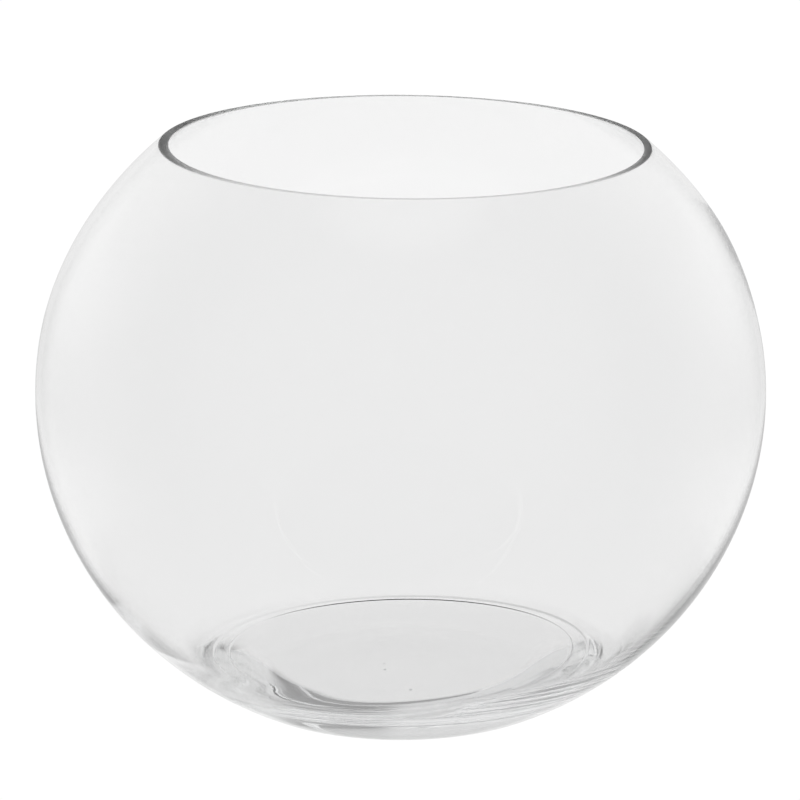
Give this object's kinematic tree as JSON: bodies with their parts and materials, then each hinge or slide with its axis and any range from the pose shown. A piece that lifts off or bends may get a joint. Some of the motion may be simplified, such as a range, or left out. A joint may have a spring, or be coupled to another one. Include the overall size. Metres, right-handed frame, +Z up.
{
  "type": "round glass vase",
  "caption": "Round vase of clear glass with a wide cut mouth, a full belly and a thick floor, for cut flowers, floating candles or plants.",
  "frame": {"origin": "centre of the ring that the vase stands on, on the table plane", "axes": "+Z up along the axis of the bowl; X and Y are free, because the bowl is round"},
  "size_m": [0.2, 0.2, 0.1583],
  "materials": {
    "clear_glass": "clear and smooth, with a finely ground lip"
  },
  "bodies": {
    "root": {"bowl": "clear_glass"}
  },
  "joints": []
}
